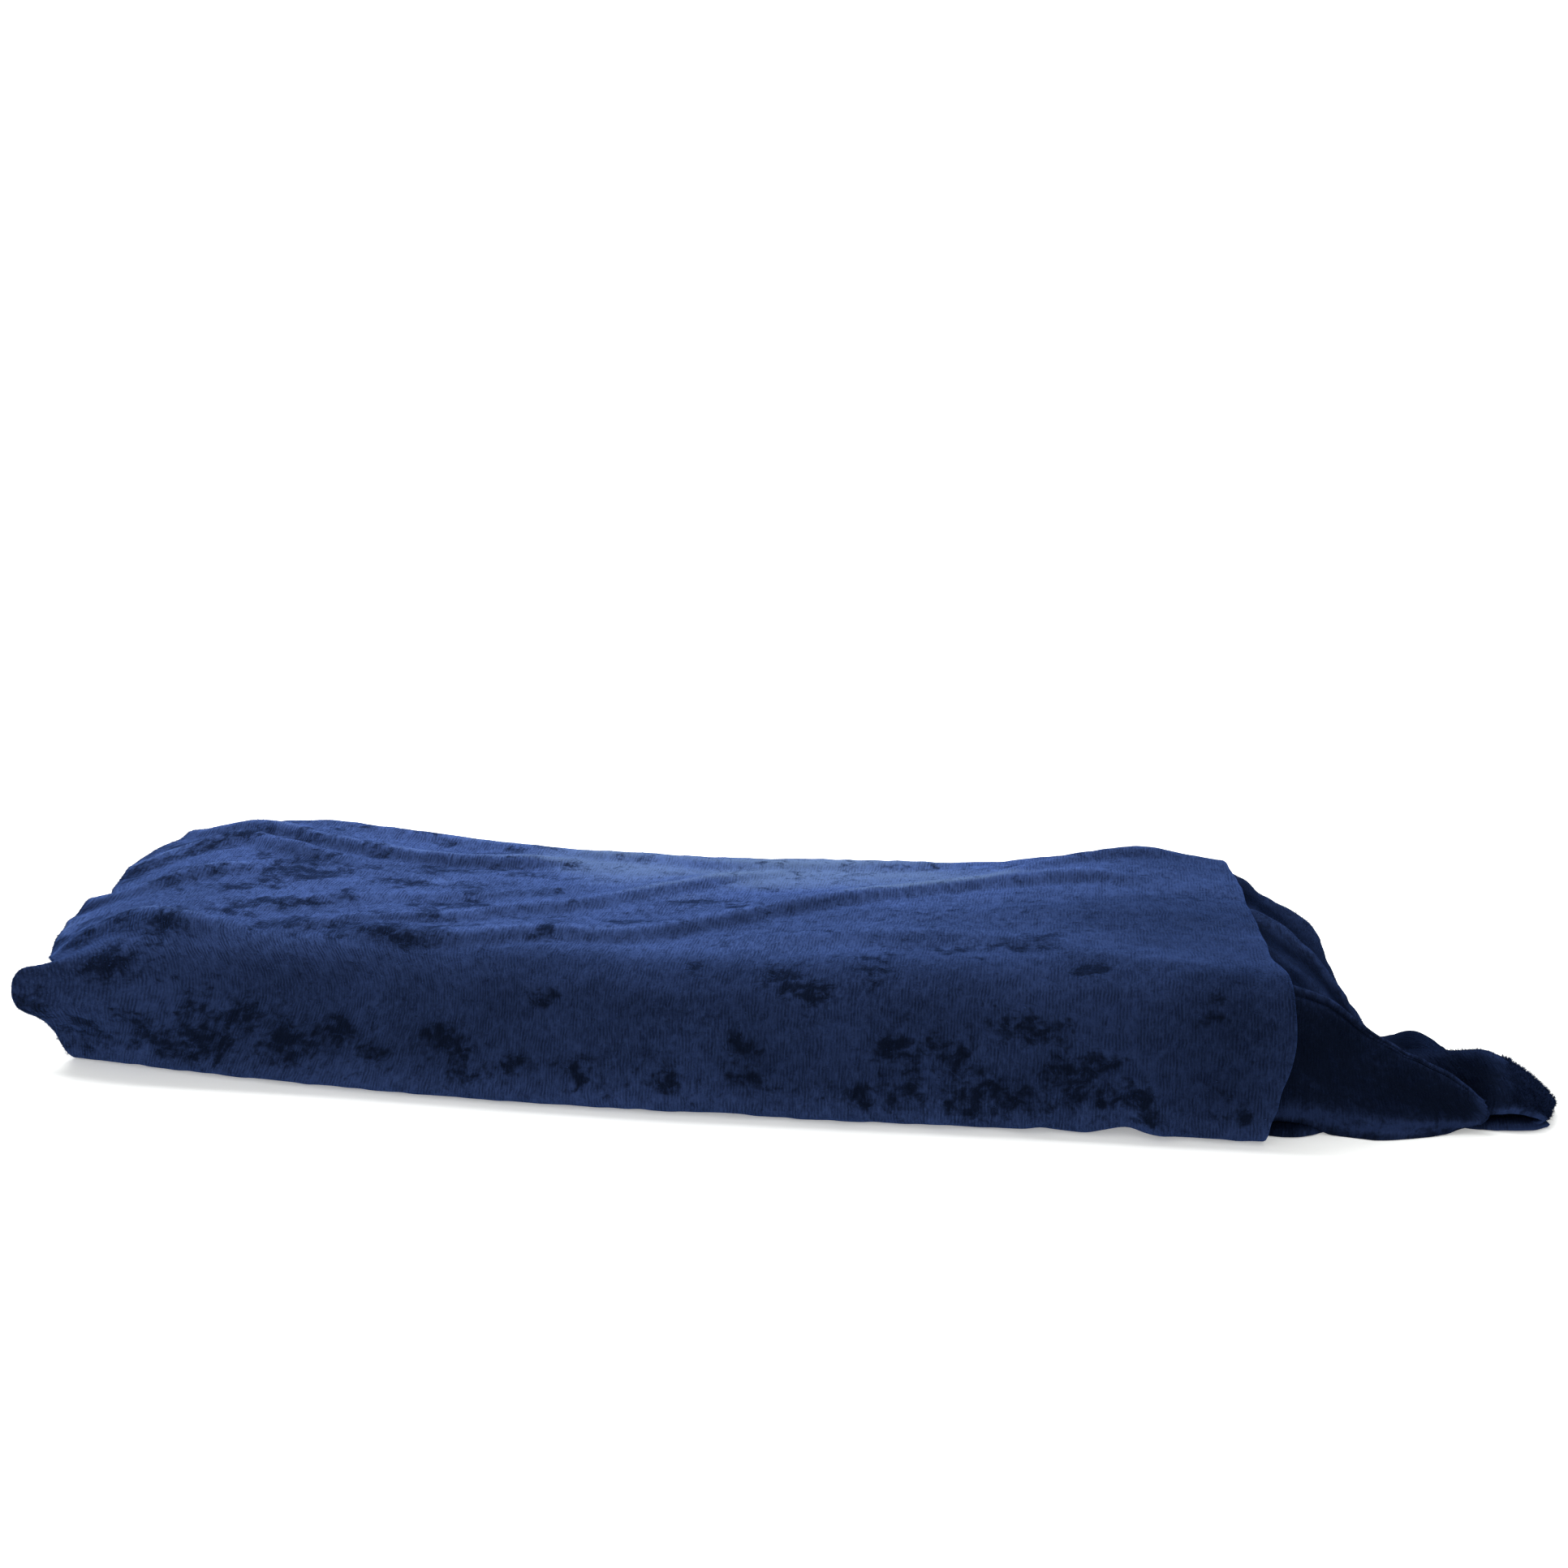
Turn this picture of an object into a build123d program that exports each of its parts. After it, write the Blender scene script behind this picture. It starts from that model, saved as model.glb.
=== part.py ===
from build123d import *
import os

os.makedirs("parts", exist_ok=True)

# A flat bolt of crushed velour, lying on its broad side. Millimetres, +Z up.
# X runs along the bolt, -Y is its front. The origin is under the middle of the
# whole bolt, on the surface that it lies on.

# ---------------- driving dimensions ----------------
folded_width = 750  # half of a 1.5 m cloth, which is folded double before it is wound
bolt_depth = 274
bolt_height = 94
turn_thickness = 3.2  # one turn of the doubled cloth
corner_radius = 34  # outside of the bends, where the top meets the front and the rear
wound_right = 310  # right-hand end of the tight winding, where the last turn's fold is
layer_gap = 0.2  # between pieces that lie on each other
moving_gap = 0.4  # between pieces that move apart

ear_reach = 45  # how far the loose layers stand out at the left-hand end
overhang_reach = 175  # how far the slipped layers run out at the right-hand end

board_length = 700
board_width = 196
board_thickness = 18
board_wall = 3  # single-wall corrugated board
board_play = 1.5  # all round, between the board and the cloth
spacer_thickness = 3
spacer_pitch = 48

tail_hem_height = 10  # the cut end stops this far above the surface

# ---------------- places worked out from them ----------------
wound_left = wound_right - folded_width
wound_middle = (wound_left + wound_right) / 2
half_depth = bolt_depth / 2
front_y = -half_depth
rear_y = half_depth
bend_y = half_depth - corner_radius  # where the flat top turns into the bend
middle_height = bolt_height / 2
inner_top = bolt_height - turn_thickness - layer_gap

channel_half_width = board_width / 2 + board_play
channel_half_height = board_thickness / 2 + board_play
channel_floor = middle_height - channel_half_height
channel_roof = middle_height + channel_half_height

board_left = wound_middle - board_length / 2
board_right = wound_middle + board_length / 2
board_underside = middle_height - board_thickness / 2
board_top = middle_height + board_thickness / 2
score_line_height = board_top - board_wall  # the end flaps fold on this line


def save(part, name):
    part.label = name
    export_step(part, "parts/" + name + ".step")


# ---------------- the wound cloth: flat layers and the bends that join them ----------------
with BuildPart() as layers_below_board:
    with BuildSketch(Plane.XY.offset(turn_thickness + layer_gap)):
        with Locations((wound_middle, 0)):
            Rectangle(folded_width, 2 * channel_half_width)
    extrude(amount=channel_floor - turn_thickness - layer_gap)

with BuildPart() as layers_above_board:
    with BuildSketch(Plane.XY.offset(channel_roof)):
        with Locations((wound_middle, 0)):
            Rectangle(folded_width, 2 * channel_half_width)
    extrude(amount=inner_top - channel_roof)

front_bend_depth = half_depth - turn_thickness - channel_half_width - 2 * layer_gap
front_bend_height = inner_top - turn_thickness - layer_gap
inner_bend_radius = corner_radius - turn_thickness - layer_gap

with BuildPart() as front_turn_bends:
    with BuildSketch(Plane.YZ.offset(wound_left)) as front_bend_profile:
        with Locations((-channel_half_width - layer_gap, middle_height)):
            Rectangle(front_bend_depth, front_bend_height, align=(Align.MAX, Align.CENTER))
        outer_corners = front_bend_profile.vertices().group_by(Axis.X)[0]
        fillet(outer_corners, inner_bend_radius)
    extrude(amount=folded_width)

rear_bend_face = rear_y - turn_thickness - moving_gap

with BuildPart() as rear_turn_bends:
    with BuildSketch(Plane.YZ.offset(wound_left)) as rear_bend_profile:
        with Locations((channel_half_width + layer_gap, 0)):
            Rectangle(
                rear_bend_face - channel_half_width - layer_gap,
                bolt_height - turn_thickness - moving_gap,
                align=(Align.MIN, Align.MIN),
            )
        outer_corners = rear_bend_profile.vertices().group_by(Axis.X)[-1]
        fillet(outer_corners, corner_radius - turn_thickness - moving_gap)
    extrude(amount=folded_width)

# ---------------- the last turn, from under the bolt round its front to its top ----------------
bottom_rear_y = channel_half_width

with BuildPart() as last_turn_bottom:
    with BuildSketch(Plane.XY):
        with Locations((wound_middle, -bend_y)):
            Rectangle(folded_width, bend_y + bottom_rear_y, align=(Align.CENTER, Align.MIN))
    extrude(amount=turn_thickness)

with BuildPart() as last_turn_front:
    with BuildSketch(Plane.YZ.offset(wound_left)):
        with BuildLine() as rounded_front:
            upper_centre = (-bend_y - layer_gap, bolt_height - corner_radius + layer_gap)
            lower_centre = (-bend_y - layer_gap, corner_radius - layer_gap)
            outer_radius = corner_radius - layer_gap
            inner_radius = outer_radius - turn_thickness
            upper_outer = CenterArc(upper_centre, outer_radius, 90, 90)
            lower_outer = CenterArc(lower_centre, outer_radius, 180, 90)
            Line(upper_outer @ 1, lower_outer @ 0)
            upper_inner = CenterArc(upper_centre, inner_radius, 90, 90)
            lower_inner = CenterArc(lower_centre, inner_radius, 180, 90)
            Line(upper_inner @ 1, lower_inner @ 0)
            Line(upper_outer @ 0, upper_inner @ 0)
            Line(lower_outer @ 1, lower_inner @ 1)
        make_face()
    extrude(amount=folded_width)

with BuildPart() as last_turn_top:
    with BuildSketch(Plane.XY.offset(bolt_height - turn_thickness)):
        with Locations((wound_middle, -bend_y)):
            Rectangle(folded_width, 2 * bend_y - moving_gap, align=(Align.CENTER, Align.MIN))
    extrude(amount=turn_thickness)

# ---------------- the cut end of the cloth, hanging down over the rear ----------------
with BuildPart() as cut_end:
    with BuildSketch(Plane.YZ.offset(wound_left)):
        with BuildLine() as tail_line:
            bend = CenterArc((bend_y, bolt_height - corner_radius), corner_radius, 0, 90)
            Line(bend @ 0, (rear_y, tail_hem_height))
            Line((rear_y, tail_hem_height), (rear_y - turn_thickness, tail_hem_height))
            Line(
                (rear_y - turn_thickness, tail_hem_height),
                (rear_y - turn_thickness, bolt_height - corner_radius),
            )
            inner_bend = CenterArc(
                (bend_y, bolt_height - corner_radius), corner_radius - turn_thickness, 0, 90
            )
            Line(inner_bend @ 1, bend @ 1)
        make_face()
    extrude(amount=folded_width)


# ---------------- loose layers standing out at the left-hand end ----------------
def loose_layers(root, tip):
    """A soft lobe that runs from a rectangle (y, z, width, height) on the winding's
    end to a smaller one at the given reach (reach, y, z, width, height)."""
    root_y, root_z, root_width, root_height = root
    reach, tip_y, tip_z, tip_width, tip_height = tip
    with BuildPart() as lobe:
        with BuildSketch(Plane.YZ.offset(wound_left - layer_gap)):
            with Locations((root_y, root_z)):
                RectangleRounded(root_width, root_height, 0.3 * min(root_width, root_height))
        with BuildSketch(Plane.YZ.offset(wound_left - reach)):
            with Locations((tip_y, tip_z)):
                RectangleRounded(tip_width, tip_height, 0.3 * min(tip_width, tip_height))
        loft()
    return lobe.part


near_ear = loose_layers((-119, 55, 34, 34), (ear_reach, -127, 54, 12, 12))
middle_ear = loose_layers((-68, 76, 60, 28), (ear_reach - 2, -68, 68, 30, 10))
far_ear = loose_layers((40, 76, 140, 28), (ear_reach - 4, 48, 82, 100, 10))
lower_lip = loose_layers((0, 19, 224, 30), (20, -10, 12, 180, 14))


# ---------------- layers that have slipped out at the right-hand end ----------------
def slipped_fold(outline, near_y, far_y, rounding):
    """A fold of cloth along Y with the given outline, as (reach, height) points."""
    points = [(wound_right + reach, height) for reach, height in outline]
    with BuildPart() as fold:
        with BuildSketch(Plane.XZ.offset(-far_y)) as profile:
            with BuildLine():
                Polyline(*points, close=True)
            make_face()
            fillet(profile.vertices(), rounding)
        extrude(amount=far_y - near_y)
    return fold.part


front_fold_near_y = front_y + 6
front_fold_far_y = -87
middle_fold_far_y = 23
rear_fold_far_y = 118
floor_lobe_far_y = -19
rear_lobe_far_y = 45
start = moving_gap + 0.1  # the slipped layers leave the winding's end by this much

front_fold = slipped_fold(
    [(start, 0), (102, 0), (120, 6), (122, 15), (112, 26), (88, 38), (60, 52), (35, 70), (start, 86)],
    front_fold_near_y,
    front_fold_far_y - layer_gap,
    2.5,
)
middle_fold = slipped_fold(
    [
        (start, 90), (25, 82), (50, 59), (72, 35), (90, 14), (99, 0),
        (86, 0), (78, 10), (60, 30), (40, 51), (20, 69), (start, 76),
    ],
    front_fold_far_y + layer_gap,
    middle_fold_far_y - layer_gap,
    1.2,
)
rear_fold = slipped_fold(
    [
        (start, 92), (20, 87), (42, 64), (52, 38), (62, 16), (77, 0),
        (62, 0), (50, 13), (41, 35), (31, 57), (15, 74), (start, 79),
    ],
    middle_fold_far_y + layer_gap,
    rear_fold_far_y,
    1.2,
)
floor_lobe = slipped_fold(
    [
        (104, 0), (164, 0), (overhang_reach, 6), (overhang_reach, 13),
        (157, 25), (136, 32), (116, 34), (104, 28),
    ],
    front_fold_far_y + layer_gap,
    floor_lobe_far_y - layer_gap,
    3,
)
rear_lobe = slipped_fold(
    [(101, 0), (122, 0), (120, 8), (110, 12), (102, 9)],
    floor_lobe_far_y + layer_gap,
    rear_lobe_far_y,
    1.5,
)

# ---------------- the bolt board: a folded corrugated sleeve with webs and end flaps ----------
with BuildPart() as board_sleeve:
    with BuildSketch(Plane.YZ.offset(board_left)):
        with Locations((0, middle_height)):
            RectangleRounded(board_width, board_thickness, board_wall)
            Rectangle(
                board_width - 2 * board_wall,
                board_thickness - 2 * board_wall,
                mode=Mode.SUBTRACT,
            )
    extrude(amount=board_length)

web_height = board_thickness - 2 * board_wall - 2 * layer_gap

with BuildPart() as board_webs:
    with BuildSketch(Plane.YZ.offset(board_left)):
        with Locations((0, middle_height)):
            with GridLocations(spacer_pitch, 0, 3, 1):
                Rectangle(spacer_thickness, web_height)
    extrude(amount=board_length)

flap_height = score_line_height - board_underside - layer_gap
flap_stand_off = 0.3


def end_flap(outer_x):
    """A flap that closes the sleeve's end, hanging from the top panel's score line."""
    with BuildPart() as flap:
        with BuildSketch(Plane.XY.offset(score_line_height - flap_height)):
            with Locations((outer_x, 0)):
                Rectangle(board_wall, board_width, align=(Align.MIN, Align.CENTER))
        extrude(amount=flap_height)
    return flap.part


left_end_flap = end_flap(board_left - flap_stand_off - board_wall)
right_end_flap = end_flap(board_right + flap_stand_off)

# ---------------- one file for each piece ----------------
save(layers_below_board.part, "layers_below_board")
save(layers_above_board.part, "layers_above_board")
save(front_turn_bends.part, "front_turn_bends")
save(rear_turn_bends.part, "rear_turn_bends")
save(last_turn_bottom.part, "last_turn_bottom")
save(last_turn_front.part, "last_turn_front")
save(last_turn_top.part, "last_turn_top")
save(cut_end.part, "cut_end")
save(near_ear, "near_ear")
save(middle_ear, "middle_ear")
save(far_ear, "far_ear")
save(lower_lip, "lower_lip")
save(front_fold, "front_fold")
save(middle_fold, "middle_fold")
save(rear_fold, "rear_fold")
save(floor_lobe, "floor_lobe")
save(rear_lobe, "rear_lobe")
save(board_sleeve.part, "board_sleeve")
save(board_webs.part, "board_webs")
save(left_end_flap, "left_end_flap")
save(right_end_flap, "right_end_flap")
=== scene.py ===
"""A flat bolt of crushed navy velour on a folded cardboard bolt board.

The CAD holds the board, the joints and plain solids for the cloth. This script
makes the cloth itself: the last turn with its cut end, the wound turns inside it,
the layers that have slipped out at the right-hand end, and their materials.

Lengths in the shape functions are millimetres in the shared frame: X along the
bolt, -Y its front, +Z up. A place on the last turn is given by x and by how far
it is round the perimeter, which starts under the rear: the bottom ends at 218,
the low corner at 232 and the front at 275, the top runs from 341 to 531, the
rear bend ends at 597 and the cut end at 637.
"""
import bpy
import math
import numpy as np
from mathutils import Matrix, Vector
from mathutils.bvhtree import BVHTree


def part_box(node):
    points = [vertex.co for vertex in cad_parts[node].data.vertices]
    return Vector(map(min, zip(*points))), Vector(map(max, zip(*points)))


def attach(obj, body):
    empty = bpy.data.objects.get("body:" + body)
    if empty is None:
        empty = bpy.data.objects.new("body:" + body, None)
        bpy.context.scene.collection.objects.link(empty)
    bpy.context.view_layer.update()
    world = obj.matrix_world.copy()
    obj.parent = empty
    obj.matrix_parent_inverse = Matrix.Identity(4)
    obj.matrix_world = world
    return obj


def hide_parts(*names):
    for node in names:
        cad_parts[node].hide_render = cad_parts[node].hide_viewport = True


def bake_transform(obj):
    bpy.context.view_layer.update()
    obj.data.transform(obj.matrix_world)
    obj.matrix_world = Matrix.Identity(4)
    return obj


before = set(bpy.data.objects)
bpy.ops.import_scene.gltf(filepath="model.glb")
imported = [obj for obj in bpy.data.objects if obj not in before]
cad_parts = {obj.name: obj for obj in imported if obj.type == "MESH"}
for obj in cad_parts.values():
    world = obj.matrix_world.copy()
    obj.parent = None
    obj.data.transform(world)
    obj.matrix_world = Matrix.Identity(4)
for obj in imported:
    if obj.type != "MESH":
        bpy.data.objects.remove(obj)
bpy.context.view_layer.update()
MM = 0.001
ON_FLOOR = 0.25  # nothing is lower than this, in millimetres


# ---------------------------------------------------------------- numbers and curves
def through(knots, values, at):
    """A smooth curve through values at rising knots, read at the places in at."""
    knots = np.asarray(knots, float)
    values = np.asarray(values, float)
    at = np.clip(np.asarray(at, float), knots[0], knots[-1])
    slopes = np.gradient(values, knots, axis=0)
    i = np.clip(np.searchsorted(knots, at, side="right") - 1, 0, len(knots) - 2)
    width = knots[i + 1] - knots[i]
    t = (at - knots[i]) / width
    spread = (Ellipsis,) + (None,) * (values.ndim - 1)
    t, width = t[spread], width[spread]
    start, end = values[i], values[i + 1]
    return (
        (2 * t**3 - 3 * t**2 + 1) * start
        + (t**3 - 2 * t**2 + t) * width * slopes[i]
        + (3 * t**2 - 2 * t**3) * end
        + (t**3 - t**2) * width * slopes[i + 1]
    )


def ease(t):
    """0 below 0, 1 above 1, and a smooth step between them."""
    t = np.clip(t, 0, 1)
    return t * t * (3 - 2 * t)


def bell(distance, width):
    return np.exp(-((distance / width) ** 2))


def noise(a, b, cell, seed):
    """Smooth noise from -1 to 1 over a plane, with the given cell size."""
    values = np.random.default_rng(seed).uniform(-1, 1, (64, 64))
    a, b = np.broadcast_arrays(np.asarray(a, float) / cell, np.asarray(b, float) / cell)
    i, j = np.floor(a).astype(int), np.floor(b).astype(int)
    p, q = ease(a - i), ease(b - j)

    def corner(di, dj):
        return values[(i + di) % 64, (j + dj) % 64]

    low = corner(0, 0) * (1 - p) + corner(1, 0) * p
    high = corner(0, 1) * (1 - p) + corner(1, 1) * p
    return low * (1 - q) + high * q


# ---------------------------------------------------------------- objects and meshes
def add_object(name, data):
    added = bpy.data.objects.new(name, data)
    bpy.context.scene.collection.objects.link(added)
    return added


def normals(grid):
    """Unit normals of a grid of points, rows by columns by 3."""
    along = np.gradient(grid, axis=1)
    across = np.gradient(grid, axis=0)
    n = np.cross(along, across)
    return n / np.maximum(np.linalg.norm(n, axis=2, keepdims=True), 1e-9)


def put_mesh(name, points, faces, cloth_uv=None, floats=None):
    """A smooth-shaded piece from points in millimetres, with cloth coordinates in metres."""
    mesh = bpy.data.meshes.new(name)
    points = np.array(points, float)
    points[:, 2] = np.maximum(points[:, 2], ON_FLOOR)
    mesh.from_pydata((points * MM).tolist(), [], [list(f) for f in faces])
    mesh.shade_smooth()
    if cloth_uv is not None:
        layer = mesh.uv_layers.new(name="cloth")
        loops = np.zeros(len(mesh.loops), np.int32)
        mesh.loops.foreach_get("vertex_index", loops)
        layer.data.foreach_set("uv", (np.asarray(cloth_uv)[loops] * MM).astype(np.float32).ravel())
    for key, values in (floats or {}).items():
        attribute = mesh.attributes.new(key, "FLOAT", "POINT")
        attribute.data.foreach_set("value", np.asarray(values, np.float32).ravel())
    mesh.validate()
    return add_object(name, mesh)


def grid_quads(rows, cols):
    """The four-sided faces of a grid of points, which face the way its normals do."""
    index = np.arange(rows * cols).reshape(rows, cols)
    quads = np.stack([index[:-1, :-1], index[:-1, 1:], index[1:, 1:], index[1:, :-1]], -1)
    return quads.reshape(-1, 4)


def doubled_cloth(name, grid, thickness, cloth_uv, floats=None, rim_steps=4):
    """A closed piece of doubled cloth: the grid is its outer face, and its edges are round."""
    rows, cols = grid.shape[:2]
    n = normals(grid)
    inner = grid - n * thickness
    index = np.arange(rows * cols).reshape(rows, cols)
    points = [grid.reshape(-1, 3), inner.reshape(-1, 3)]
    uv = [cloth_uv.reshape(-1, 2), cloth_uv.reshape(-1, 2)]
    extra = {key: [v.ravel(), v.ravel()] for key, v in (floats or {}).items()}
    faces = []
    quads = grid_quads(rows, cols)
    faces += quads.tolist()
    faces += (quads[:, ::-1] + rows * cols).tolist()
    # the boundary, once round, and the way out of the cloth at each of its points
    loop = np.concatenate([index[0, :-1], index[:-1, -1], index[-1, :0:-1], index[:0:-1, 0]])
    flat = grid.reshape(-1, 3)
    outward = np.zeros_like(flat)
    outward[index[0]] += grid[0] - grid[1]
    outward[index[-1]] += grid[-1] - grid[-2]
    outward[index[:, 0]] += grid[:, 0] - grid[:, 1]
    outward[index[:, -1]] += grid[:, -1] - grid[:, -2]
    out = outward[loop]
    out /= np.maximum(np.linalg.norm(out, axis=1, keepdims=True), 1e-9)
    top, bottom = flat[loop], inner.reshape(-1, 3)[loop]
    middle, half = (top + bottom) / 2, (top - bottom) / 2
    rings = [loop]
    base = 2 * rows * cols
    for k in range(1, rim_steps):
        angle = math.pi * k / rim_steps
        ring = middle + half * math.cos(angle) + out * (thickness / 2) * math.sin(angle)
        points.append(ring)
        uv.append(cloth_uv.reshape(-1, 2)[loop])
        for key, v in (floats or {}).items():
            extra[key].append(v.ravel()[loop])
        rings.append(base + np.arange(len(loop)))
        base += len(loop)
    rings.append(loop + rows * cols)
    for first, second in zip(rings[:-1], rings[1:]):
        f2, s2 = np.roll(first, -1), np.roll(second, -1)
        faces += np.stack([second, s2, f2, first], -1).tolist()
    extra = {key: np.concatenate(v) for key, v in extra.items()}
    return put_mesh(name, np.concatenate(points), faces, np.concatenate(uv), extra)


def press_inside(points, depths, cover):
    """Moves each point inwards until it lies at least its depth below a covering grid."""
    rows, cols = cover.shape[:2]
    tree = BVHTree.FromPolygons(cover.reshape(-1, 3).tolist(), grid_quads(rows, cols).tolist())
    pressed = points.copy()
    for k, (point, depth) in enumerate(zip(points, depths)):
        nearest, normal, _, _ = tree.find_nearest(Vector(point))
        short = depth - (nearest - Vector(point)).dot(normal)
        if short > 0:
            pressed[k] -= short * np.array(normal)
    return pressed


def lofted(net, rows, cols):
    """A smooth grid through a net of control points, given as rows of (x, y, z)."""
    net = np.asarray(net, float)
    high, wide = net.shape[:2]
    along = through(np.arange(wide), net.swapaxes(0, 1), np.linspace(0, wide - 1, cols))
    return through(np.arange(high), along.swapaxes(0, 1), np.linspace(0, high - 1, rows))


def cloth_coordinates(grid):
    """Arc lengths along a grid's columns and rows, which a weave follows."""
    along = np.linalg.norm(np.diff(grid, axis=1), axis=2)
    across = np.linalg.norm(np.diff(grid, axis=0), axis=2)
    u = np.concatenate([np.zeros((grid.shape[0], 1)), np.cumsum(along, axis=1)], axis=1)
    v = np.concatenate([np.zeros((1, grid.shape[1])), np.cumsum(across, axis=0)], axis=0)
    return np.stack([u, v], axis=2)


FIBRE = 0.34  # how thick a pile fibre is at its root
COARSE_FIBRE = 0.42
ROOT_DEPTH = 0.4  # a fibre starts this far inside the cloth
ROOT_SCATTER = 0.4


def fibres(name, sets, width, painted_light):
    """Loose pile fibres, each a thin three-sided spike that stands on a root; all of them get the one
    level of painted light given.
    """
    roots, directions, length, uv = (np.concatenate(parts) for parts in zip(*sets))
    rng = np.random.default_rng(len(roots))
    d = directions / np.maximum(np.linalg.norm(directions, axis=1, keepdims=True), 1e-9)
    side = np.cross(d, rng.normal(size=d.shape))
    side /= np.maximum(np.linalg.norm(side, axis=1, keepdims=True), 1e-9)
    other = np.cross(d, side)
    foot = roots - d * ROOT_DEPTH
    corners = [
        foot + width / 2 * (math.cos(a) * side + math.sin(a) * other)
        for a in np.radians([0, 120, 240])
    ]
    tip = roots + d * length[:, None] + side * (length[:, None] * 0.25)
    points = np.stack([*corners, tip], axis=1).reshape(-1, 3)
    base = 4 * np.arange(len(roots))[:, None]
    faces = np.concatenate([base + t for t in ([0, 2, 1], [0, 1, 3], [1, 2, 3], [2, 0, 3])], axis=0)
    floats = {"crush_and_shade": np.zeros(len(points)), "painted_light": np.full(len(points), painted_light)}
    return put_mesh(name, points, faces, np.repeat(uv, 4, axis=0), floats)


def fringe(edge, inside, uv, per_mm, lengths, seed):
    """Fibres along the edge of a cloth: roots, directions, lengths and cloth coordinates."""
    rng = np.random.default_rng(seed)
    along = np.concatenate([[0], np.cumsum(np.linalg.norm(np.diff(edge, axis=0), axis=1))])
    at = rng.uniform(0, along[-1], int(along[-1] * per_mm))
    out = edge - inside
    out /= np.maximum(np.linalg.norm(out, axis=1, keepdims=True), 1e-9)

    def read(values):
        return np.stack([np.interp(at, along, column) for column in values.T], axis=1)

    away = read(out)
    away = away + 0.45 * rng.normal(size=away.shape)
    return read(edge), away, rng.uniform(*lengths, len(at)), read(uv)


def pile(grid, uv, rows, cols, count, lengths, lean, seed):
    """Fibres that stand off a cloth between two shares of its rows and of its columns."""
    rng = np.random.default_rng(seed)
    n = normals(grid)
    i = (np.array(rows)[0] + rng.random(count) * np.ptp(rows)) * (grid.shape[0] - 1)
    j = (np.array(cols)[0] + rng.random(count) * np.ptp(cols)) * (grid.shape[1] - 1)
    i, j = i.astype(int), j.astype(int)
    away = n[i, j] + lean * rng.normal(size=(count, 3))
    root = grid[i, j] + ROOT_SCATTER * rng.normal(size=(count, 3))
    return root, away, rng.uniform(*lengths, count), uv[i, j]


# ---------------------------------------------------------------- the winding's shape
HALF_DEPTH = 137.0
HALF_HEIGHT = 47.0
CORE_HALF_DEPTH = 99.5  # the channel that holds the board
CORE_HALF_HEIGHT = 10.5
WOUND_LEFT, WOUND_RIGHT = -440.0, 310.0
SOFT_CORNER = 42.0
TIGHT_CORNER = 9.0
DOUBLED = 3.0  # two plies of the cloth
INNER_DOUBLED = 2.6  # the same, pressed
RIM_START = -452  # the last turn's left-hand edge, before its ears are drawn out
ABOVE_CHANNEL = HALF_HEIGHT + CORE_HALF_HEIGHT + 4  # no turn is moved into the board's channel


def rounded_outline(half_depth, half_height, top_radius, low_radius, counts):
    """A turn of cloth seen from its end, as (y, z) from the bottom's rear round the
    front and over the top to the rear. counts are steps on its eight stretches."""
    bottom, low_front, front, top_front, top, top_rear, rear, low_rear = counts
    zc = HALF_HEIGHT
    w, h, rt, rb = half_depth, half_height, top_radius, low_radius

    def line(a, b, n):
        t = np.arange(n)[:, None] / n
        return np.array(a) * (1 - t) + np.array(b) * t

    def arc(cy, cz, r, a0, a1, n):
        a = np.radians(a0 + (a1 - a0) * np.arange(n) / n)
        return np.stack([cy + r * np.cos(a), cz + r * np.sin(a)], axis=1)

    return np.concatenate(
        [
            line((w - rb, zc - h), (rb - w, zc - h), bottom),
            arc(rb - w, zc - h + rb, rb, 270, 180, low_front),
            line((-w, zc - h + rb), (-w, zc + h - rt), front),
            arc(rt - w, zc + h - rt, rt, 180, 90, top_front),
            line((rt - w, zc + h), (w - rt, zc + h), top),
            arc(w - rt, zc + h - rt, rt, 90, 0, top_rear),
            line((w, zc + h - rt), (w, zc - h + rb), rear),
            arc(w - rb, zc - h + rb, rb, 0, -90, low_rear),
        ]
    )


# how the settled winding departs from a straight one, along its length
STATIONS = [-470, -420, -305, -170, -50, 35, 130, 205, 310]
FOOT = [19, 10, -5, -14.5, -16.2, -15.6, -12.8, -11, -10.5]  # the front's foot, forward is negative
SHOULDER = [1, 0, -1, -4, -6, -5, -3, -1, 0]
FRONT_TOP = [-5, -3, -4, -7, -9, -7, -4, -2, -1]
REAR_STATIONS = [-470, -440, -396, -310, -237, -117, 0, 115, 172, 239, 270, 310]
REAR_TOP = [-4, -1, 4, 2, -4.5, -8, -8, -5.5, 2.5, 7.5, 5, 2]


def settle(x, y, z):
    """Moves points of a straight winding to where the settled one has them."""
    foot = through(STATIONS, FOOT, x)
    shoulder = through(STATIONS, SHOULDER, x)
    forward = shoulder + (foot - shoulder) * (1 - ease(z / 62))
    y = y + forward * ease((-y - 55) / 75)
    front_top = through(STATIONS, FRONT_TOP, x)
    rear_top = through(REAR_STATIONS, REAR_TOP, x)
    across = ease((y + 120) / 230)
    lift = front_top * (1 - across) + rear_top * across
    # towards the right-hand end the rear edge is fuller
    fuller = 7.5 * ease((x - 205) / 50) * np.clip(y - 95, 0, 42) * np.clip(z - 52, 0, 42) / 42**2
    z = z + lift * np.clip((z - 58) / 36, 0, 1)
    return y + fuller, z + fuller


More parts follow.
